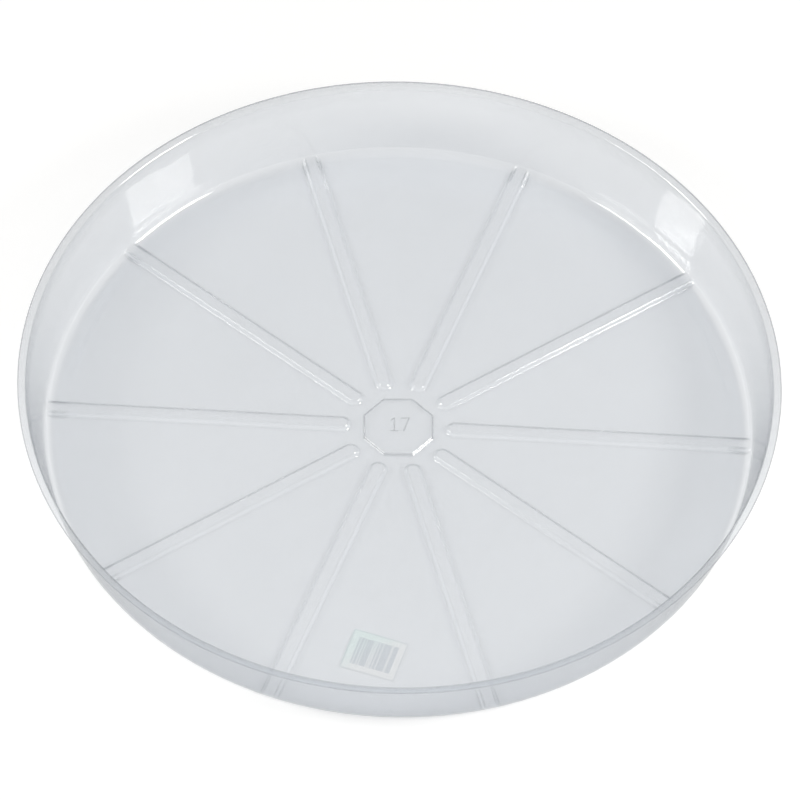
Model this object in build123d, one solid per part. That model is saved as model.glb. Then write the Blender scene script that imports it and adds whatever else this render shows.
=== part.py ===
from build123d import *
import os

# A shallow round saucer that stands under a plant pot, formed from one clear sheet.
# Z is up and the saucer stands on z = 0, centred on the Z axis. Lengths are in millimetres.

# whole saucer
rim_radius = 215.9
saucer_height = 47.5
sheet = 0.8

# rim: a narrow trimmed flange that rises a little towards its edge
flange_width = 4.6
flange_rise = 0.5

# wall and the rounded corner at its foot, measured on the inside of the sheet
wall_lean = 10.5
corner_radius = 6.5

# the flat ring the saucer stands on, beside the corner, and the floor a little above it
standing_ring_width = 3.6
floor_lift = 0.4
floor_step_run = 3.0

# eight-sided raised pad in the middle, turned a little against the ribs
pad_sides = 8
pad_turn = 3.7
pad_half_width = 20.0
pad_height = 1.2
pad_flank_angle = 30.0

# raised ribs from a gap outside the pad out into the corner
rib_count = 10
rib_height = 2.3
rib_base_width = 10.4
rib_flank_angle = 40.0
rib_gap_to_pad = 7.0

# self-adhesive label under the floor, near the front
label_width = 32.0
label_depth = 27.5
label_thickness = 0.12
label_corner_radius = 1.0
label_centre_from_ring = 32.3
label_bearing = -91.8
label_turn = -15.5

# how far a cutting shape runs past what it cuts
overrun = 2.0

# worked out from the sizes above
floor_top = floor_lift + sheet
bend_radius_from_axis = rim_radius - flange_width
wall_foot_radius = bend_radius_from_axis - wall_lean
ring_inner_radius = wall_foot_radius - corner_radius - standing_ring_width
rib_inner_end_radius = pad_half_width + rib_gap_to_pad
label_centre_radius = ring_inner_radius - label_centre_from_ring
sector_angle = 360 / rib_count


def upper_line():
    """The upper side of the sheet in section, from the middle of the floor out to the trimmed edge."""
    wall_foot = (wall_foot_radius, sheet)
    line = Polyline(
        (0, floor_top),
        (ring_inner_radius - floor_step_run, floor_top),
        (ring_inner_radius, sheet),
        wall_foot,
        (bend_radius_from_axis, saucer_height - flange_rise),
        (rim_radius, saucer_height),
    ).wire()
    corner = line.vertices().sort_by_distance(Vector(*wall_foot))[0]
    return line.fillet_2d(corner_radius, [corner])


def sheet_section():
    """The sheet itself in section, with the edge of the flange trimmed upright."""
    band = upper_line().offset_2d(sheet, side=Side.RIGHT, closed=True)
    inside_rim = Pos(rim_radius / 2, saucer_height / 2) * Rectangle(rim_radius, saucer_height)
    return make_face(band) & inside_rim


def filled_section():
    """All that lies inside the outer side of the sheet in section."""
    outer = upper_line().offset_2d(sheet, side=Side.RIGHT, closed=False)
    middle, edge = outer.vertices().sort_by(Axis.X)[0], outer.vertices().sort_by(Axis.X)[-1]
    lid = Polyline((edge.X, edge.Y), (0, edge.Y), (middle.X, middle.Y))
    return make_face([*outer.edges(), *lid.edges()])


def sector(section):
    """The section, drawn as radius and height, turned through one rib's share of the circle about +X."""
    upright = Plane.XZ * section
    return Rot(0, 0, -sector_angle / 2) * revolve(upright, axis=Axis.Z, revolution_arc=sector_angle)


def raised_form(outline, height, flank_angle, footing):
    """A boss with sloping flanks above z = 0, on a straight-sided footing below it."""
    return extrude(outline, amount=height, taper=flank_angle) + extrude(outline, amount=-footing)


def rib_form(footing):
    """A round-ended rib along +X, from beside the middle pad to past the wall."""
    length = rim_radius - rib_inner_end_radius
    outline = Pos(rib_inner_end_radius + length / 2, 0) * SlotOverall(length, rib_base_width)
    return raised_form(outline, rib_height, rib_flank_angle, footing)


def pad_form(footing):
    """The eight-sided pad, with a flat side facing +X before its turn."""
    half_step = 360 / pad_sides / 2
    outline = RegularPolygon(pad_half_width, pad_sides, major_radius=False, rotation=half_step + pad_turn)
    return raised_form(outline, pad_height, pad_flank_angle, footing)


def ribbed_sector():
    """One tenth of the saucer: the sheet with a rib pressed up into it and out through the corner."""
    rib = Pos(0, 0, floor_top) * rib_form(floor_top) & sector(filled_section())
    hollow = Pos(0, 0, floor_lift) * rib_form(floor_lift + overrun)
    return sector(sheet_section()) + rib - hollow


def saucer():
    """Ten ribbed sectors joined into one sheet, with the pad pressed up in the middle."""
    tenth = ribbed_sector()
    whole = Part() + [Rot(0, 0, sector_angle * index) * tenth for index in range(rib_count)]
    pad = Pos(0, 0, floor_top) * pad_form(sheet)
    hollow = Pos(0, 0, floor_lift) * pad_form(floor_lift + overrun)
    return whole + pad - hollow


def label():
    """The label, lying against the underside of the floor."""
    outline = RectangleRounded(label_width, label_depth, label_corner_radius)
    centre = Rot(0, 0, label_bearing) * Pos(label_centre_radius, 0, floor_lift)
    turned = Rot(0, 0, label_turn) * extrude(outline, amount=-label_thickness)
    return Pos(*centre.position) * turned


os.makedirs("parts", exist_ok=True)
export_step(saucer(), "parts/saucer.step")
export_step(label(), "parts/label.step")
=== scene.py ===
import math

import bpy
import numpy as np
from bpy.props import FloatProperty, FloatVectorProperty, IntProperty, PointerProperty
from mathutils import Matrix, Vector


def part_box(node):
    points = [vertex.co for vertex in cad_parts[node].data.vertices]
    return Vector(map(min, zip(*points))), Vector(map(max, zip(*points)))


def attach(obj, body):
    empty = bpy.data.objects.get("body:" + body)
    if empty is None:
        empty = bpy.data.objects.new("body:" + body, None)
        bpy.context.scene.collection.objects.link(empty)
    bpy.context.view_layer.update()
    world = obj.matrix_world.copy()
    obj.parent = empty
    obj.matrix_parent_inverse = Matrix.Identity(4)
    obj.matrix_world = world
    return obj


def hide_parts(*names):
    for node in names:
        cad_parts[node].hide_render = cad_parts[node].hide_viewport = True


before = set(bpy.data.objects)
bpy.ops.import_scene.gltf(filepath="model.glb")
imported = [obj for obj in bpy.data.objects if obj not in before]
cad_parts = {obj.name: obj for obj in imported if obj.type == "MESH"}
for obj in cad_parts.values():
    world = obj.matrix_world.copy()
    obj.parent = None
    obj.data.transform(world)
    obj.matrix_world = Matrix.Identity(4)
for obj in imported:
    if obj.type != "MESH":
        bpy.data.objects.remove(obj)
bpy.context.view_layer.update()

bl_info = {
    "name": "Clear plant saucer",
    "version": (1, 0, 0),
    "blender": (4, 5, 0),
    "location": "3D view > Sidebar > Saucer",
    "description": "Forms a ribbed clear plant saucer, dresses its label and sets a pale studio",
    "category": "Object",
}

# Lengths are in metres. The saucer's axis is Z, its front is -Y, and a rib runs along +X.
MM = 0.001


# -------------------------------- sizes and colours a user may change


class SaucerShape(bpy.types.PropertyGroup):
    """Sizes of the formed sheet"""

    rim_radius: FloatProperty(
        name="Rim radius", description="From the axis to the trimmed edge",
        default=0.2159, unit="LENGTH",
    )
    height: FloatProperty(
        name="Height", description="Height of the trimmed edge", default=0.0475, unit="LENGTH"
    )
    sheet: FloatProperty(
        name="Sheet", description="Thickness of the sheet", default=0.0008, unit="LENGTH"
    )
    flange_width: FloatProperty(
        name="Flange width", description="From the bend at the rim to the edge",
        default=0.0046, unit="LENGTH",
    )
    flange_rise: FloatProperty(
        name="Flange rise", description="How far the flange climbs to its edge",
        default=0.0005, unit="LENGTH",
    )
    bend_radius: FloatProperty(
        name="Bend radius", description="Rounding between wall and flange",
        default=0.002, unit="LENGTH",
    )
    wall_lean: FloatProperty(
        name="Wall lean", description="How far the wall leans out from foot to bend",
        default=0.0105, unit="LENGTH",
    )
    corner_radius: FloatProperty(
        name="Corner radius", description="Rounding at the foot of the wall",
        default=0.0065, unit="LENGTH",
    )
    ring_width: FloatProperty(
        name="Standing ring", description="Width of the flat ring beside the corner",
        default=0.0036, unit="LENGTH",
    )
    floor_lift: FloatProperty(
        name="Floor lift", description="Gap between the table and the floor's underside",
        default=0.0004, unit="LENGTH",
    )
    floor_step_run: FloatProperty(
        name="Step run", description="Width of the slope from floor to ring",
        default=0.003, unit="LENGTH",
    )
    rib_height: FloatProperty(
        name="Rib height", description="Height above the floor", default=0.0023, unit="LENGTH"
    )
    rib_base_width: FloatProperty(
        name="Rib base width", description="Width of a rib at the floor",
        default=0.0104, unit="LENGTH",
    )
    rib_flank_angle: FloatProperty(
        name="Rib flank", description="Lean of a rib's flank",
        default=math.radians(40), subtype="ANGLE",
    )
    rib_start: FloatProperty(
        name="Rib start", description="From the axis to a rib's inner end",
        default=0.027, unit="LENGTH",
    )
    rib_count: IntProperty(name="Ribs", description="Number of ribs", default=10)
    pad_half_width: FloatProperty(
        name="Pad half width", description="From the axis to a flat side of the pad",
        default=0.02, unit="LENGTH",
    )
    pad_height: FloatProperty(
        name="Pad height", description="Height above the floor", default=0.0012, unit="LENGTH"
    )
    pad_flank_angle: FloatProperty(
        name="Pad flank", description="Lean of the pad's flank",
        default=math.radians(42), subtype="ANGLE",
    )
    pad_sides: IntProperty(name="Pad sides", description="Number of sides of the pad", default=8)
    pad_turn: FloatProperty(
        name="Pad turn", description="Turn of the pad and its number against the ribs",
        default=math.radians(3.7), subtype="ANGLE",
    )
    rib_rounding: FloatProperty(
        name="Rib rounding", description="Softness of the ribs' edges",
        default=0.0005, unit="LENGTH",
    )
    pad_rounding: FloatProperty(
        name="Pad rounding", description="Softness of the pad's edges",
        default=0.0005, unit="LENGTH",
    )
    figure_height: FloatProperty(
        name="Figure height", description="Height of the plain size number on the pad",
        default=0.0096, unit="LENGTH",
    )
    figure_relief: FloatProperty(
        name="Figure relief", description="How far the size number stands up",
        default=0.00022, unit="LENGTH",
    )
    figure_stroke: FloatProperty(
        name="Figure stroke", description="Width of the size number's strokes",
        default=0.0006, unit="LENGTH",
    )


class LabelShape(bpy.types.PropertyGroup):
    """Sizes of the label and its stripes"""

    width: FloatProperty(
        name="Width", description="Longer side of the label", default=0.032, unit="LENGTH"
    )
    depth: FloatProperty(
        name="Depth", description="Shorter side of the label", default=0.0275, unit="LENGTH"
    )
    corner_radius: FloatProperty(
        name="Corner radius", description="Rounding in plan", default=0.001, unit="LENGTH"
    )
    gap: FloatProperty(
        name="Gap", description="Film of adhesive between label and sheet",
        default=0.00001, unit="LENGTH",
    )
    turn: FloatProperty(
        name="Turn", description="Turn of the label about its centre",
        default=math.radians(-15.5), subtype="ANGLE",
    )
    block_width: FloatProperty(
        name="Block width", description="Width of the striped block", default=0.0235, unit="LENGTH"
    )
    block_depth: FloatProperty(
        name="Block depth", description="Depth of the striped block", default=0.0185, unit="LENGTH"
    )
    stripe_pitch: FloatProperty(
        name="Stripe pitch", description="Width of one stripe", default=0.0007, unit="LENGTH"
    )


class ClearSheetLook(bpy.types.PropertyGroup):
    """Colours and waves of the clear sheet"""

    tint: FloatVectorProperty(
        name="Tint", description="Light passed by one face", subtype="COLOR",
        default=(0.985, 0.992, 1.0), min=0, max=1,
    )
    haze: FloatVectorProperty(
        name="Haze", description="Faint body colour", subtype="COLOR",
        default=(0.58, 0.606, 0.647), min=0, max=1,
    )
    # Painted shade: the dark body colour of the edge marks.
    painted_edge_shade: FloatVectorProperty(
        name="Edge colour", description="Body colour along edges", subtype="COLOR",
        default=(0.2, 0.22, 0.25), min=0, max=1,
    )
    opacity: FloatProperty(
        name="Opacity", description="Body share of one face", default=0.21, min=0, max=1
    )
    wave: FloatProperty(
        name="Waviness", description="Height of the sheet's faint waves",
        default=0.00012, min=0, unit="LENGTH",
    )


class StageLook(bpy.types.PropertyGroup):
    """Floor and lights"""

    floor: FloatVectorProperty(
        name="Floor", description="Colour of the floor", subtype="COLOR",
        default=(0.97, 0.97, 0.97), min=0, max=1,
    )
    glow: FloatProperty(
        name="Glow", description="White added to the floor as the camera sees it",
        default=0.2, min=0,
    )
    dome: FloatProperty(
        name="Dome", description="Strength of the surrounding light", default=0.535, min=0
    )
    dome_lean: FloatProperty(
        name="Dome lean", description="How much stronger the light is from the front",
        default=0.5, min=0, max=1,
    )
    lamp: FloatProperty(
        name="Lamps", description="Radiance of the soft boxes", default=13.5, min=0
    )


# -------------------------------- shader helpers


class Value:
    """A shader socket that adds Math nodes when it is used in an expression."""

    def __init__(self, look, socket):
        self.look = look
        self.socket = socket

    def maths(self, operation, first, second=0.0):
        """The result of a new Math node on two values or numbers."""
        node = self.look.add("ShaderNodeMath", {"operation": operation}, {0: first, 1: second})
        return Value(self.look, node.outputs[0])

    def __add__(self, other):
        return self.maths("ADD", self, other)

    __radd__ = __add__

    def __mul__(self, other):
        return self.maths("MULTIPLY", self, other)

    __rmul__ = __mul__

    def __sub__(self, other):
        return self.maths("SUBTRACT", self, other)

    def __rsub__(self, other):
        return self.maths("SUBTRACT", other, self)

    def __pow__(self, other):
        return self.maths("POWER", self, other)

    def __abs__(self):
        return self.maths("ABSOLUTE", self)

    def __gt__(self, other):
        return self.maths("GREATER_THAN", self, other)

    def __lt__(self, other):
        return self.maths("LESS_THAN", self, other)

    def clamped(self):
        """Held between 0 and 1."""
        return self.maths("MINIMUM", self.maths("MAXIMUM", self, 0.0), 1.0)

    def floored(self):
        """Rounded down."""
        return self.maths("FLOOR", self)


class Look:
    """The node tree of one material or of the world."""

    def __init__(self, owner):
        owner.use_nodes = True
        self.tree = owner.node_tree
        self.tree.nodes.clear()

    def add(self, kind, settings=None, values=None):
        """Adds a node, sets its settings, then its sockets' values or links."""
        node = self.tree.nodes.new(kind)
        for name, setting in (settings or {}).items():
            setattr(node, name, setting)
        for key, value in (values or {}).items():
            socket = node.inputs[key]
            if isinstance(value, Value):
                self.tree.links.new(value.socket, socket)
            elif isinstance(value, bpy.types.NodeSocket):
                self.tree.links.new(value, socket)
            else:
                socket.default_value = value
        return node

    def number(self, output, kind, settings=None, values=None):
        """The named output of a new node, for use in expressions."""
        return Value(self, self.add(kind, settings, values).outputs[output])

    def axes(self, vector):
        """The three numbers of a vector, for use in expressions."""
        parts = self.add("ShaderNodeSeparateXYZ", values={"Vector": vector})
        return [Value(self, output) for output in parts.outputs]

    def blend(self, share, first, second):
        """A colour between two colours, by the Mix node's colour sockets: 6 and 7 in, 2 out."""
        node = self.add(
            "ShaderNodeMix", {"data_type": "RGBA"}, {"Factor": share, 6: first, 7: second}
        )
        return node.outputs[2]


def opaque(colour):
    """The colour with an alpha of 1."""
    return (*colour, 1.0)


# -------------------------------- the clear sheet's material

# The body is what isn't clear: the haze and the gloss on it. Its index is higher than plastic's,
# so that the gloss shows in a small share of body.
BODY_IOR = 3.6
LEAST_ROUGHNESS = 0.02
CLOUD_ROUGHNESS = 0.04

# Uneven patches in the body's share, and waves in the gloss.
CLOUD_SCALE = 9.0
CLOUD_DETAIL = 3.0
CLOUD_SHARE = 0.04
WAVE_SCALE = 38.0
WAVE_DETAIL = 2.0

# A face seen at a grazing angle has more body, and darker, and so has a point with an edge mark; at
# edge marks that is painted shade, standing for the dark lines of refraction.
GRAZE_POWER = 5.0
GRAZE_SHARE = 0.85
GRAZE_DARK_POWER = 6.0
EDGE_SHARE = 0.5
EDGE_PAINTED_SHADE = 0.8

# The wall and the flange differ from the floor. The wall's difference grows with height, by this
# much per metre, and the flange's begins at its own height.
WALL_ONSET = 60.0
FLANGE_ONSET = 500.0
FLANGE_LEVEL = 0.0445

# What the difference is. The wall has less body at front and back, by the square of the distance
# from the middle, and more all over. The flange has less all over. Both have less body towards the
# front, per metre. These differences by place are painted light and shade: the front is made
# clearer and so lighter, and the wall's sides denser and so darker.
LESS_AT_ENDS = 10.0
MORE_ON_WALL = 0.15
LESS_ON_FLANGE = 0.05
PAINTED_LIGHT_TO_FRONT = 1.5

# Part of the body that casts no shadow.
SHADOW_SPARED = 0.3


def clear_sheet_material(look):
    """Clear plastic: light goes straight through it, apart from a share of faint body and gloss.
    The share grows at grazing angles and along edges, where the body is darker; along edges that is
    painted shade. It differs by place: less at the front of wall and flange, more at the wall's
    sides and the flange's back, which is painted light at the front and painted shade at the sides."""
    material = bpy.data.materials.new("clear_sheet")
    shade = Look(material)
    edge = shade.number("Fac", "ShaderNodeAttribute", {"attribute_name": "edge"})
    facing = shade.number("Facing", "ShaderNodeLayerWeight", values={"Blend": 0.5})
    graze = facing ** GRAZE_POWER
    shadow = shade.number("Is Shadow Ray", "ShaderNodeLightPath")
    place = shade.add("ShaderNodeTexCoord").outputs["Object"]
    cloud = shade.number(
        "Fac", "ShaderNodeTexNoise",
        values={"Vector": place, "Scale": CLOUD_SCALE, "Detail": CLOUD_DETAIL},
    )
    wave = shade.number(
        "Fac", "ShaderNodeTexNoise",
        values={"Vector": place, "Scale": WAVE_SCALE, "Detail": WAVE_DETAIL},
    )
    wavy = shade.add(
        "ShaderNodeBump", values={"Strength": 1.0, "Distance": look.wave, "Height": wave}
    )
    # Painted shade along the edge marks, and darker body where the view grazes.
    painted_shade_and_graze = (edge * EDGE_PAINTED_SHADE + facing ** GRAZE_DARK_POWER).clamped()
    body = shade.add(
        "ShaderNodeBsdfPrincipled",
        values={
            "Base Color": shade.blend(painted_shade_and_graze, opaque(look.haze), opaque(look.painted_edge_shade)),
            "Roughness": LEAST_ROUGHNESS + cloud * CLOUD_ROUGHNESS,
            "IOR": BODY_IOR,
            "Normal": wavy.outputs[0],
        },
    )
    clear = shade.add("ShaderNodeBsdfTransparent", values={"Color": opaque(look.tint)})
    _, y, z = shade.axes(place)
    on_flange = ((z - FLANGE_LEVEL) * FLANGE_ONSET).clamped()
    on_wall = (z * WALL_ONSET).clamped()
    # Painted light towards the front and painted shade on the wall's sides.
    less = (
        on_wall * (y * y * LESS_AT_ENDS - y * PAINTED_LIGHT_TO_FRONT - MORE_ON_WALL)
        + on_flange * (LESS_ON_FLANGE - y * PAINTED_LIGHT_TO_FRONT)
    )
    even = (look.opacity + (cloud - 0.5) * CLOUD_SHARE) * (1.0 - less)
    share = (even + graze * GRAZE_SHARE + edge * EDGE_SHARE).clamped()
    share = share * (1.0 - shadow * SHADOW_SPARED)
    mixed = shade.add(
        "ShaderNodeMixShader", values={0: share, 1: clear.outputs[0], 2: body.outputs[0]}
    )
    shade.add("ShaderNodeOutputMaterial", values={"Surface": mixed.outputs[0]})
    return material


# -------------------------------- the label's material

PAPER = (0.97, 0.96, 0.94)
GREEN_PAPER = (0.9, 0.97, 0.93)
PRINT = (0.66, 0.69, 0.72)
PAPER_ROUGHNESS = 0.75
# The paper's glow is painted light, which keeps the label under the sheet about as bright as the
# floor.
PAPER_PAINTED_LIGHT = 0.2

# The green grows towards the back left corner, per metre, broken up by the paper's fibres.
GREEN_MIDDLE = 0.2
GREEN_SLOPE = 60.0
FIBRE_SCALE = 900.0
FIBRE_DETAIL = 4.0

# The part of the stripes that stay pale, and how grey block, stripes and the border are.
PALE_STRIPES = 0.4
BLOCK_GREY = 0.25
STRIPE_GREY = 0.45
BORDER_GREY = 0.35
BORDER_WIDTH = MM


def label_material(shape, centre):
    """Thin pale paper, greenish towards one corner, with a fine grey border and a block of plain
    grey stripes. The block is cut into stripes of one width, each grey or pale by chance. The paper
    glows a little, which is painted light."""
    material = bpy.data.materials.new("label_paper")
    shade = Look(material)
    place = shade.add("ShaderNodeTexCoord").outputs["Object"]
    turned = shade.add(
        "ShaderNodeMapping",
        {"vector_type": "TEXTURE"},
        {
            "Vector": place,
            "Location": (centre.x, centre.y, 0.0),
            "Rotation": (0.0, 0.0, shape.turn),
        },
    )
    across, along, _ = shade.axes(turned.outputs[0])

    def within(width, depth):
        """1 inside a rectangle of that size about the label's centre."""
        return (abs(across) < width / 2) * (abs(along) < depth / 2)

    step = (across * (1 / shape.stripe_pitch)).floored()
    chance = shade.number(
        "Value", "ShaderNodeTexWhiteNoise", {"noise_dimensions": "1D"}, {"W": step}
    )
    stripe = chance > PALE_STRIPES
    block = within(shape.block_width, shape.block_depth)
    border = 1.0 - within(shape.width - 2 * BORDER_WIDTH, shape.depth - 2 * BORDER_WIDTH)
    fibre = shade.number(
        "Fac", "ShaderNodeTexNoise",
        values={"Vector": place, "Scale": FIBRE_SCALE, "Detail": FIBRE_DETAIL},
    )
    slant = GREEN_MIDDLE - across * GREEN_SLOPE + along * GREEN_SLOPE
    green = (slant + (fibre - 0.5)).clamped()
    paper = shade.blend(green, opaque(PAPER), opaque(GREEN_PAPER))
    grey = block * (BLOCK_GREY + stripe * STRIPE_GREY) + border * BORDER_GREY
    colour = shade.blend(grey, paper, opaque(PRINT))
    body = shade.add(
        "ShaderNodeBsdfPrincipled",
        values={
            "Base Color": colour,
            "Roughness": PAPER_ROUGHNESS,
            # Painted light: the paper glows in its own colour.
            "Emission Color": colour,
            "Emission Strength": PAPER_PAINTED_LIGHT,
        },
    )
    shade.add("ShaderNodeOutputMaterial", values={"Surface": body.outputs[0]})
    return material


# -------------------------------- the sheet in section

# Rounding of the two corners of the floor's step, and how many points each arc of the section has:
# the step's two, the corner at the wall's foot, and the bend.
STEP_ROUNDING = 0.004
UPPER_ARC_POINTS = (4, 4, 18, 7)
UNDER_ARC_POINTS = (3, 3, 16, 5)

# Extra rows on the wall, and near the trimmed edge by their distance from it.
WALL_ROWS = 3
EDGE_ROWS = np.array([1.3, 0.8, 0.4]) * MM

# Rows on the flat floor by their distance from the axis. They are close together under the size
# number, over the pad's flank and at the ribs' inner ends.
UPPER_ROWS = MM * np.concatenate(
    [
        np.arange(0.4, 8.4, 0.32),
        [9.5, 11.5, 14, 16.5, 18],
        np.arange(18.7, 22.3, 0.22),
        [23, 24.5, 26],
        np.arange(26.6, 33.2, 0.4),
        [35, 40, 50, 70, 90, 110, 130, 150, 170, 182],
    ]
)
UNDER_ROWS = MM * np.concatenate(
    [
        [4, 10, 16],
        np.arange(18.7, 22.3, 0.35),
        [23.5, 25.5],
        np.arange(26.6, 33.2, 0.55),
        [40, 70, 110, 150],
    ]
)


def rounded_path(points, radii, arc_points):
    """A polyline in radius and height whose corners are arcs of the given radii and numbers of
    points: an arc touches both its sides, and its centre is on the line that halves the corner."""
    path = [points[0]]
    corners = zip(points, points[1:], points[2:], radii, arc_points)
    for before, corner, after, radius, count in corners:
        inward = (before - corner) / np.linalg.norm(before - corner)
        outward = (after - corner) / np.linalg.norm(after - corner)
        half = math.acos(np.clip(inward @ outward, -1, 1)) / 2
        reach = radius / math.tan(half)
        halving = (inward + outward) / np.linalg.norm(inward + outward)
        centre = corner + halving * radius / math.sin(half)
        start = corner + inward * reach - centre
        end = corner + outward * reach - centre
        turn = math.acos(np.clip(start @ end / radius**2, -1, 1))
        share = np.linspace(0, 1, count)[:, None]
        swept = np.sin((1 - share) * turn) * start + np.sin(share * turn) * end
        path.extend(centre + swept / math.sin(turn))
    path.append(points[-1])
    return np.array(path)


def sheet_paths(shape):
    """The upper and the lower side of the sheet in section, as rows of radius and height from the
    axis outwards. The lower side is the upper one moved square to itself by the thickness."""
    top = shape.floor_lift + shape.sheet
    bend = shape.rim_radius - shape.flange_width
    foot = bend - shape.wall_lean
    ring = foot - shape.corner_radius - shape.ring_width
    upper = np.array(
        [
            (0, top),
            (ring - shape.floor_step_run, top),
            (ring, shape.sheet),
            (foot, shape.sheet),
            (bend, shape.height - shape.flange_rise),
            (shape.rim_radius, shape.height),
        ]
    )
    along = np.diff(upper, axis=0)
    along /= np.linalg.norm(along, axis=1)[:, None]
    side = np.stack([along[:, 1], -along[:, 0]], 1)
    under = [upper[0] + side[0] * shape.sheet]
    for index in range(1, len(upper) - 1):
        mean = side[index - 1] + side[index]
        under.append(upper[index] + mean * shape.sheet / (mean @ side[index]))
    radius, height = under[-1]
    flange_slope = along[-1][1] / along[-1][0]
    under.append(np.array([shape.rim_radius, height + (shape.rim_radius - radius) * flange_slope]))
    step = (STEP_ROUNDING, STEP_ROUNDING)
    inner_radii = (*step, shape.corner_radius, shape.bend_radius)
    outer_radii = (*step, shape.corner_radius + shape.sheet, shape.bend_radius - shape.sheet)
    return (
        rounded_path(upper, inner_radii, UPPER_ARC_POINTS),
        rounded_path(np.array(under), outer_radii, UNDER_ARC_POINTS),
    )


def with_floor_rows(path, radii):
    """The path with extra rows at those of the given radii that are on its flat inner part."""
    inner = radii[radii < path[1, 0]]
    rows = np.stack([inner, np.full_like(inner, path[0, 1])], 1)
    return np.vstack([path[:1], rows, path[1:]])


def with_wall_rows(path, after_wall):
    """The path with extra rows spread evenly over the wall, before its last after_wall points."""
    rows = np.linspace(path[-after_wall - 1], path[-after_wall], WALL_ROWS + 2)[1:-1]
    return np.vstack([path[:-after_wall], rows, path[-after_wall:]])


def with_edge_rows(path):
    """The path with extra rows close to its outer end, where the painted shade at the trimmed edge
    lies.
    """
    last = path[-1] - path[-2]
    shares = 1 - EDGE_ROWS / np.linalg.norm(last)
    return np.vstack([path[:-1], path[-2] + shares[:, None] * last, path[-1:]])


# -------------------------------- ribs, pad and size number

# Columns of the mesh beside a rib's middle line, by their distance from it, close together over
# the flank; then how many fan out to the end of the rib's share, and the part of that share which
# the first ones may take up near the axis.
LANES = MM * np.array(
    [0, 1.3, 2.1, 2.4, 2.7, 2.95, 3.2, 3.45, 3.7, 3.95, 4.2, 4.45, 4.7, 4.95, 5.2, 5.45, 5.75, 6.1,
     6.6, 7.3, 8.2]
)
FANS = 6
LANES_LIMIT = 0.955

# A ring with a smaller radius than this is a point.
NO_RADIUS = 1e-9

# The strokes of the size number, 17, in halves of its height, its centre on the pad and the width
# over which a stroke's side rises.
FIGURE_STROKES = (
    ((-0.98, 0.62), (-0.62, 0.93)),
    ((-0.62, 0.93), (-0.62, -0.93)),
    ((-1.0, -0.93), (-0.24, -0.93)),
    ((0.2, 0.93), (1.14, 0.93)),
    ((1.14, 0.93), (0.5, -0.93)),
)
FIGURE_CENTRE = (0.0006, 0.001)
FIGURE_SLOPE_WIDTH = 0.0004

# Edge marks are lines that fall away like a bell over the first two lengths. They are painted
# shade, standing for the dark lines of refraction at ridges, bends and edges. Their strengths
# follow, and no point's mark is more than 1.
RIDGE_LINE = 0.0005
RIM_LINE = 0.0004
RIB_MARK = 0.1
RIB_END_MARK = 0.4
PAD_MARK = 0.6
FIGURE_MARK = 0.8
BEND_MARK = 1.2
TRIM_MARK = 0.8
UNDER_TRIM_MARK = 0.6
FLANGE_MARK = 0.05

# The mark at the bend has an even part and one that goes from minus to plus from back to front, so
# that this painted shade is darker at the front.
BEND_MARK_EVEN = 0.6
BEND_MARK_FRONT = 0.4

# A rib's lines end at the wall's foot over the first width. They are stronger towards it, from the
# second distance before it, over the third.
RIB_LINE_FADE = 0.004
RIB_END_REACH = 0.014
RIB_END_FADE = 0.006


def soft_max(a, b, width):
    """The larger of two heights, rounded where they meet: a parabola of that width joins them."""
    h = np.clip(0.5 + 0.5 * (a - b) / width, 0, 1)
    return b + (a - b) * h + width * h * (1 - h)


def soft_min(a, b, width):
    """The smaller of two heights, rounded where they meet."""
    return -soft_max(-a, -b, width)


def line_mark(distance, place, width):
    """1 on a line at the given distance, falling away like a bell over the given width."""
    return np.exp(-(((distance - place) / width) ** 2))


def column_angles(radius, shape):
    """The angle of each column at each radius within one rib's share of the circle. Near the rib
    the columns run parallel to it, or closer together near the axis, where the share is too narrow
    for them; beyond, they fan out evenly to the next share."""
    half = math.pi / shape.rib_count
    limit = half * LANES_LIMIT
    reach = np.minimum(1.0, radius * math.sin(limit) / LANES[-1])
    sines = LANES[None, :] * reach[:, None] / np.maximum(radius[:, None], NO_RADIUS)
    near = np.arcsin(np.clip(sines, 0, 1))
    near[radius < NO_RADIUS] = LANES / LANES[-1] * limit
    shares = np.arange(1, FANS + 1) / FANS
    far = near[:, -1:] + (half - near[:, -1:]) * shares[None, :]
    right = np.hstack([near, far])
    left = -right[:, -2:0:-1]
    return np.hstack([left, right])


def rib_offset(x, y, shape):
    """Distance from the rib's middle line, which begins at the centre of its round inner end."""
    start = shape.rib_start + shape.rib_base_width / 2
    return np.hypot(np.maximum(start - x, 0), y)


def pad_offset(x, y, shape):
    """Distance from the axis measured square to the nearest side of the pad."""
    turns = np.arange(shape.pad_sides) * 2 * math.pi / shape.pad_sides + shape.pad_turn
    return np.max(x[..., None] * np.cos(turns) + y[..., None] * np.sin(turns), axis=-1)


def figure_offset(x, y, shape):
    """Distance from the nearest stroke of the size number, which is upright as seen from the front
    and turned with the pad."""
    unit = shape.figure_height / 2
    c, s = math.cos(shape.pad_turn), math.sin(shape.pad_turn)
    x, y = x - FIGURE_CENTRE[0], y - FIGURE_CENTRE[1]
    x, y = x * c + y * s, y * c - x * s
    nearest = np.full(x.shape, np.inf)
    for start, end in FIGURE_STROKES:
        a = np.array(start) * unit
        d = np.array(end) * unit - a
        share = np.clip(((x - a[0]) * d[0] + (y - a[1]) * d[1]) / (d @ d), 0, 1)
        nearest = np.minimum(nearest, np.hypot(x - a[0] - share * d[0], y - a[1] - share * d[1]))
    return nearest


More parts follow.
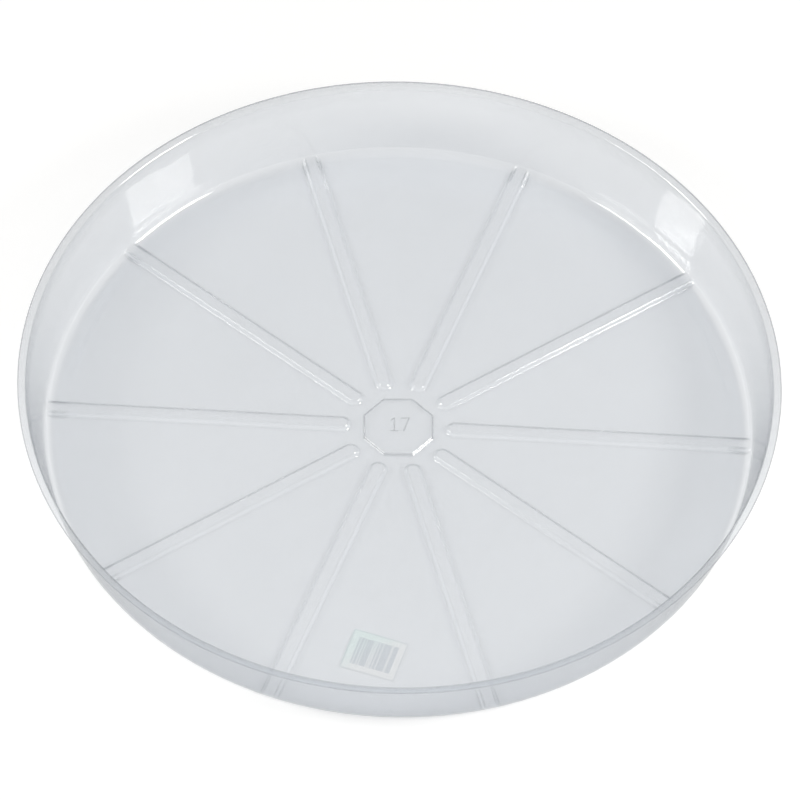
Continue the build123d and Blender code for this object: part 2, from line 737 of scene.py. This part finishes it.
def rib_share(path, shape, floor_height):
    """One rib's share of one side of the sheet: the section, or the rib where that is higher. The
    rib is level on top and falls away with its flanks' lean on both sides of its middle line.
    Returns the columns' angles, heights and edge marks, painted shade that follows the rib's top
    and foot."""
    angle = column_angles(path[:, 0], shape)
    radius = path[:, :1]
    offset = rib_offset(radius * np.cos(angle), radius * np.sin(angle), shape)
    half_base = shape.rib_base_width / 2
    slope = 1 / math.tan(shape.rib_flank_angle)
    rise = soft_min(shape.rib_height, (half_base - offset) * slope, shape.rib_rounding)
    height = soft_max(path[:, 1:], floor_height + rise, shape.rib_rounding)
    crest = half_base - shape.rib_height / slope
    lines = np.maximum(
        line_mark(offset, crest, RIDGE_LINE), line_mark(offset, half_base, RIDGE_LINE)
    )
    foot = shape.rim_radius - shape.flange_width - shape.wall_lean
    before_wall = np.clip((foot - radius) / RIB_LINE_FADE, 0, 1)
    near_end = np.clip((radius - foot + RIB_END_REACH) / RIB_END_FADE, 0, 1)
    return angle, height, (RIB_MARK + RIB_END_MARK * near_end) * lines * before_wall


def raised_side(path, shape, floor_height):
    """One side of the sheet: a rib's share repeated round the axis, and the pad in the middle,
    level on top with a leaning flank. Returns points as rows of columns, and their edge marks."""
    angle, height, mark = rib_share(path, shape, floor_height)
    turns = np.arange(shape.rib_count) * (2 * math.pi / shape.rib_count)
    angle = (turns[None, :, None] + angle[:, None, :]).reshape(len(path), -1)
    height = np.tile(height, (1, shape.rib_count))
    mark = np.tile(mark, (1, shape.rib_count))
    radius = path[:, :1]
    x, y = radius * np.cos(angle), radius * np.sin(angle)
    offset = pad_offset(x, y, shape)
    slope = 1 / math.tan(shape.pad_flank_angle)
    soft = shape.pad_rounding
    lift = soft_min(shape.pad_height, (shape.pad_half_width - offset) * slope, soft)
    height = np.where(
        radius < shape.rib_start, soft_max(height, floor_height + lift, soft), height
    )
    flank_middle = shape.pad_half_width - shape.pad_height / slope / 2
    mark = np.maximum(mark, PAD_MARK * line_mark(offset, flank_middle, RIDGE_LINE))
    return np.stack([x, y, height], -1), mark


def with_figure(points, mark, shape):
    """The points of the upper side lifted along the size number's strokes, whose sides are smooth
    steps, and the edge marks with those of the strokes."""
    x, y, height = points[..., 0], points[..., 1], points[..., 2]
    stroke = figure_offset(x, y, shape)
    half_width = (shape.figure_stroke + FIGURE_SLOPE_WIDTH) / 2
    share = np.clip((half_width - stroke) / FIGURE_SLOPE_WIDTH, 0, 1)
    height = height + shape.figure_relief * share * share * (3 - 2 * share)
    mark = np.maximum(mark, FIGURE_MARK * line_mark(stroke, 0, RIM_LINE))
    return np.stack([x, y, height], -1), mark


def rim_marks(path, points, shape):
    """Edge marks of painted shade on the upper side at the rim: a line at the bend, stronger
    towards the front, a line at the trimmed edge and a faint mark all over the flange."""
    radius = path[:, 0]
    bend = shape.rim_radius - shape.flange_width
    front = -points[:, :, 1] / np.maximum(radius, MM)[:, None]
    lean = BEND_MARK_EVEN + BEND_MARK_FRONT * front
    at_bend = BEND_MARK * line_mark(radius, bend, RIM_LINE)[:, None] * lean
    at_trim = TRIM_MARK * line_mark(radius, shape.rim_radius, RIM_LINE)
    outside = np.maximum(at_trim, FLANGE_MARK * (radius > bend))
    return np.minimum(np.maximum(at_bend, outside[:, None]), 1)


# -------------------------------- meshes

# Points in each quarter circle of the label's outline.
LABEL_CORNER_POINTS = 7


def ring_faces(rings, columns):
    """Faces of a closed surface whose points are rings, numbered ring by ring, and then two
    middles: quads join each ring to the next, and triangles fan out from a middle to the first
    ring and from the other to the last."""
    ring, column = np.meshgrid(np.arange(rings - 1), np.arange(columns), indexing="ij")
    near, far = ring * columns, (ring + 1) * columns
    after = (column + 1) % columns
    quads = np.stack([near + column, far + column, far + after, near + after], -1).reshape(-1, 4)
    first = np.arange(columns)
    after = (first + 1) % columns
    last = (rings - 1) * columns
    middle = rings * columns
    top = np.stack([np.full(columns, middle), first, after], -1)
    bottom = np.stack([np.full(columns, middle + 1), last + after, last + first], -1)
    return quads, np.vstack([top, bottom])


def sheet_mesh(shape):
    """The closed sheet. Each side is a grid of rings round the axis. They are joined at the trimmed
    edge, so that the rings run from the upper middle outwards and back to the lower middle."""
    upper_path, under_path = sheet_paths(shape)
    upper_path = with_wall_rows(upper_path, UPPER_ARC_POINTS[-1] + 1)
    upper_path = with_floor_rows(with_edge_rows(upper_path), UPPER_ROWS)
    under_path = with_floor_rows(with_edge_rows(under_path), UNDER_ROWS)
    upper, upper_mark = raised_side(upper_path, shape, upper_path[0, 1])
    upper, upper_mark = with_figure(upper, upper_mark, shape)
    upper_mark = np.maximum(upper_mark, rim_marks(upper_path, upper, shape))
    under, under_mark = raised_side(under_path, shape, shape.floor_lift)
    under_trim = UNDER_TRIM_MARK * line_mark(under_path[:, 0], shape.rim_radius, RIM_LINE)
    under_mark = np.maximum(under_mark, under_trim[:, None])

    rings = np.vstack([upper[1:], under[:0:-1]])
    marks = np.concatenate([upper_mark[1:].ravel(), under_mark[:0:-1].ravel(), [0, 0]])
    points = np.vstack([rings.reshape(-1, 3), upper[0, :1], under[0, :1]])
    columns = rings.shape[1]
    # The trimmed edge's upper ring is rim 1 and its lower ring rim 2.
    trim = (len(upper) - 2) * columns
    rims = np.zeros(len(points), int)
    rims[trim : trim + columns] = 1
    rims[trim + columns : trim + 2 * columns] = 2
    return points, *ring_faces(len(rings), columns), marks, rims


def label_mesh(shape, centre, low, high):
    """A thin slab. Its outline is a rectangle whose corners are quarter circles, turned about the
    label's centre; an upper and a lower copy of it are joined by a band and closed by fans."""
    signs = np.array([(1, 1), (-1, 1), (-1, -1), (1, -1)])
    sweep = np.linspace(0, math.pi / 2, LABEL_CORNER_POINTS)
    angle = (np.arange(4)[:, None] * math.pi / 2 + sweep[None, :]).ravel()
    inner = signs * (np.array([shape.width, shape.depth]) / 2 - shape.corner_radius)
    quarter = shape.corner_radius * np.stack([np.cos(angle), np.sin(angle)], 1)
    outline = np.repeat(inner, LABEL_CORNER_POINTS, axis=0) + quarter
    c, s = math.cos(shape.turn), math.sin(shape.turn)
    outline = outline @ np.array([[c, s], [-s, c]]) + np.array([centre.x, centre.y])
    count = len(outline)
    upper, lower = (np.column_stack([outline, np.full(count, height)]) for height in (high, low))
    middles = [[centre.x, centre.y, high], [centre.x, centre.y, low]]
    points = np.vstack([upper, lower, middles])
    rims = np.repeat([1, 2, 0], [count, count, 2])
    return points, *ring_faces(2, count), np.zeros(len(points)), rims


def mesh_object(name, points, quads, triangles, marks, rims):
    """An object at the origin from whole arrays of points and faces, with its edge marks, the
    painted shade, as a point attribute. It is shaded smooth, apart from edges between points of the
    same rim, which are sharp. Rim 0 is none."""
    mesh = bpy.data.meshes.new(name)
    loops = np.concatenate([quads.ravel(), triangles.ravel()]).astype(np.int32)
    quad_starts = np.arange(len(quads)) * 4
    triangle_starts = len(quads) * 4 + np.arange(len(triangles)) * 3
    starts = np.concatenate([quad_starts, triangle_starts]).astype(np.int32)
    mesh.vertices.add(len(points))
    mesh.vertices.foreach_set("co", points.astype(np.float32).ravel())
    mesh.loops.add(len(loops))
    mesh.loops.foreach_set("vertex_index", loops)
    mesh.polygons.add(len(starts))
    mesh.polygons.foreach_set("loop_start", starts)
    mesh.polygons.foreach_set("use_smooth", np.ones(len(starts), bool))
    mesh.update(calc_edges=True)
    mesh.validate()
    attribute = mesh.attributes.new("edge", "FLOAT", "POINT")
    attribute.data.foreach_set("value", marks.astype(np.float32))
    ends = np.empty(len(mesh.edges) * 2, np.int32)
    mesh.edges.foreach_get("vertices", ends)
    first, second = rims[ends[0::2]], rims[ends[1::2]]
    mesh.edges.foreach_set("use_edge_sharp", (first == second) & (first > 0))
    piece = bpy.data.objects.new(name, mesh)
    bpy.context.scene.collection.objects.link(piece)
    return piece


# -------------------------------- the stage

# Half a side of the floor, and its height, just under the saucer's foot.
FLOOR_REACH = 6.0
FLOOR_LEVEL = -0.0003

# A direction meets the white backdrop if the upward part of its unit vector is less than this.
BACKDROP_TOP = 0.3

# The soft boxes: azimuth and elevation in degrees, width, height, part of the lamps' radiance.
LAMPS = (
    ("lamp_right", -13.0, 37.0, 0.54, 0.34, 1.1),
    ("lamp_left", -174.7, 34.5, 0.36, 0.3, 1.0),
    ("lamp_left_high", -160.0, 41.0, 0.42, 0.36, 0.35),
)
LAMP_DISTANCE = 1.6
LAMP_COLOUR = (1.0, 0.985, 0.95)

# The camera: its lens and sensor in millimetres, its place as azimuth and elevation in degrees and
# distance from the middle of the rim, the point it looks at, its turn about its view in degrees,
# and the nearest and farthest that it sees.
CAMERA_LENS = 343.929
CAMERA_SENSOR = 36.0
CAMERA_AZIMUTH = -88.1699
CAMERA_ELEVATION = 53.1053
CAMERA_DISTANCE = 4.318
CAMERA_AIM = (0.00099, -0.01527, 0.0475)
CAMERA_TURN = 1.5921
CAMERA_RANGE = (0.05, 50.0)
RIM_MIDDLE = (0.0, 0.0, 0.0475)

# Enough for a view that passes many faces of the clear sheet.
CLEAR_FACES = 48


def direction(azimuth, elevation):
    """The unit vector at that azimuth from +X and that elevation above the table, in degrees."""
    a, e = math.radians(azimuth), math.radians(elevation)
    return Vector((math.cos(a) * math.cos(e), math.sin(a) * math.cos(e), math.sin(e)))


def add_floor(stage):
    """A large pale plane just under the saucer, with a little white added for the camera."""
    mesh = bpy.data.meshes.new("stage_floor")
    signs = ((-1, -1), (1, -1), (1, 1), (-1, 1))
    corners = [(x * FLOOR_REACH, y * FLOOR_REACH, FLOOR_LEVEL) for x, y in signs]
    mesh.from_pydata(corners, [], [(0, 1, 2, 3)])
    floor = bpy.data.objects.new("stage_floor", mesh)
    bpy.context.scene.collection.objects.link(floor)
    material = bpy.data.materials.new("stage_floor")
    shade = Look(material)
    body = shade.add("ShaderNodeBsdfDiffuse", values={"Color": opaque(stage.floor)})
    seen = shade.number("Is Camera Ray", "ShaderNodeLightPath")
    glow = shade.add("ShaderNodeEmission", values={"Strength": seen * stage.glow})
    both = shade.add("ShaderNodeAddShader", values={0: body.outputs[0], 1: glow.outputs[0]})
    shade.add("ShaderNodeOutputMaterial", values={"Surface": both.outputs[0]})
    mesh.materials.append(material)


def add_dome(stage):
    """Soft light from all round, stronger from the front. Low down it is a backdrop, which the
    camera, gloss and clear things see as plain white."""
    world = bpy.data.worlds.new("dome")
    shade = Look(world)
    path = shade.add("ShaderNodeLightPath")
    camera, gloss, clear = (
        Value(shade, path.outputs[name])
        for name in ("Is Camera Ray", "Is Glossy Ray", "Is Transmission Ray")
    )
    seen = (camera + gloss + clear).clamped()
    toward = shade.add("ShaderNodeTexCoord").outputs["Generated"]
    _, y, z = shade.axes(toward)
    dome = stage.dome * (1.0 - y * stage.dome_lean)
    backdrop = seen * (z < BACKDROP_TOP)
    strength = dome + backdrop * (1.0 - dome)
    back = shade.add(
        "ShaderNodeBackground", values={"Color": (1.0, 1.0, 1.0, 1.0), "Strength": strength}
    )
    shade.add("ShaderNodeOutputWorld", values={"Surface": back.outputs[0]})
    bpy.context.scene.world = world


def add_lamp(name, azimuth, elevation, width, height, radiance):
    """A rectangular soft box of that radiance, facing the saucer."""
    lamp = bpy.data.lights.new(name, "AREA")
    lamp.shape = "RECTANGLE"
    lamp.size = width
    lamp.size_y = height
    lamp.energy = radiance * math.pi * width * height
    lamp.color = LAMP_COLOUR
    holder = bpy.data.objects.new(name, lamp)
    bpy.context.scene.collection.objects.link(holder)
    away = direction(azimuth, elevation)
    holder.location = away * LAMP_DISTANCE
    holder.rotation_euler = away.to_track_quat("Z", "Y").to_euler()


def add_camera():
    """The camera at the photograph's angle. It looks at the aim point and is turned a little."""
    lens = bpy.data.cameras.new("camera")
    lens.sensor_width = CAMERA_SENSOR
    lens.lens = CAMERA_LENS
    lens.dof.use_dof = False
    lens.clip_start, lens.clip_end = CAMERA_RANGE
    camera = bpy.data.objects.new("camera", lens)
    bpy.context.scene.collection.objects.link(camera)
    toward = direction(CAMERA_AZIMUTH, CAMERA_ELEVATION)
    place = Vector(RIM_MIDDLE) + toward * CAMERA_DISTANCE
    view = (Vector(CAMERA_AIM) - place).to_track_quat("-Z", "Y").to_matrix().to_4x4()
    turn = Matrix.Rotation(math.radians(CAMERA_TURN), 4, "Z")
    camera.matrix_world = Matrix.Translation(place) @ view @ turn
    bpy.context.scene.camera = camera


# -------------------------------- operators and panel


class SAUCER_OT_form_sheet(bpy.types.Operator):
    """Form the clear sheet: floor, ribs, pad, corner, wall and flange in one closed surface"""

    bl_idname = "saucer.form_sheet"
    bl_label = "Form sheet"

    def execute(self, context):
        shape = context.scene.saucer_shape
        piece = mesh_object("saucer_sheet", *sheet_mesh(shape))
        piece.data.materials.append(clear_sheet_material(context.scene.saucer_clear))
        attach(piece, "root")
        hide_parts("saucer")
        return {"FINISHED"}


class SAUCER_OT_dress_label(bpy.types.Operator):
    """Lay the label under the floor, with its paper and plain grey stripes"""

    bl_idname = "saucer.dress_label"
    bl_label = "Dress label"

    def execute(self, context):
        shape = context.scene.saucer_label
        low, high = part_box("label")
        centre = (low + high) / 2
        piece = mesh_object("label_slab", *label_mesh(shape, centre, low.z, high.z - shape.gap))
        piece.data.materials.append(label_material(shape, centre))
        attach(piece, "root")
        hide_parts("label")
        return {"FINISHED"}


class SAUCER_OT_set_stage(bpy.types.Operator):
    """Set the floor, the lights and the camera"""

    bl_idname = "saucer.set_stage"
    bl_label = "Set stage"

    def execute(self, context):
        stage = context.scene.saucer_stage
        add_floor(stage)
        add_dome(stage)
        for name, azimuth, elevation, width, height, part in LAMPS:
            add_lamp(name, azimuth, elevation, width, height, stage.lamp * part)
        add_camera()
        return {"FINISHED"}


class SAUCER_PT_panel(bpy.types.Panel):
    """The saucer's steps in the sidebar"""

    bl_label = "Plant saucer"
    bl_idname = "SAUCER_PT_panel"
    bl_space_type = "VIEW_3D"
    bl_region_type = "UI"
    bl_category = "Saucer"

    def draw(self, context):
        for operator in (SAUCER_OT_form_sheet, SAUCER_OT_dress_label, SAUCER_OT_set_stage):
            self.layout.operator(operator.bl_idname)


CLASSES = (
    SaucerShape,
    LabelShape,
    ClearSheetLook,
    StageLook,
    SAUCER_OT_form_sheet,
    SAUCER_OT_dress_label,
    SAUCER_OT_set_stage,
    SAUCER_PT_panel,
)


def register():
    for each in CLASSES:
        bpy.utils.register_class(each)
    bpy.types.Scene.saucer_shape = PointerProperty(type=SaucerShape)
    bpy.types.Scene.saucer_label = PointerProperty(type=LabelShape)
    bpy.types.Scene.saucer_clear = PointerProperty(type=ClearSheetLook)
    bpy.types.Scene.saucer_stage = PointerProperty(type=StageLook)


def unregister():
    del bpy.types.Scene.saucer_stage
    del bpy.types.Scene.saucer_clear
    del bpy.types.Scene.saucer_label
    del bpy.types.Scene.saucer_shape
    for each in reversed(CLASSES):
        bpy.utils.unregister_class(each)


def main():
    """Makes the saucer, its label and the stage."""
    register()
    scene = bpy.context.scene
    scene.view_settings.view_transform = "Standard"
    scene.cycles.transparent_max_bounces = CLEAR_FACES
    bpy.ops.saucer.form_sheet()
    bpy.ops.saucer.dress_label()
    bpy.ops.saucer.set_stage()


if __name__ == "__main__":
    main()
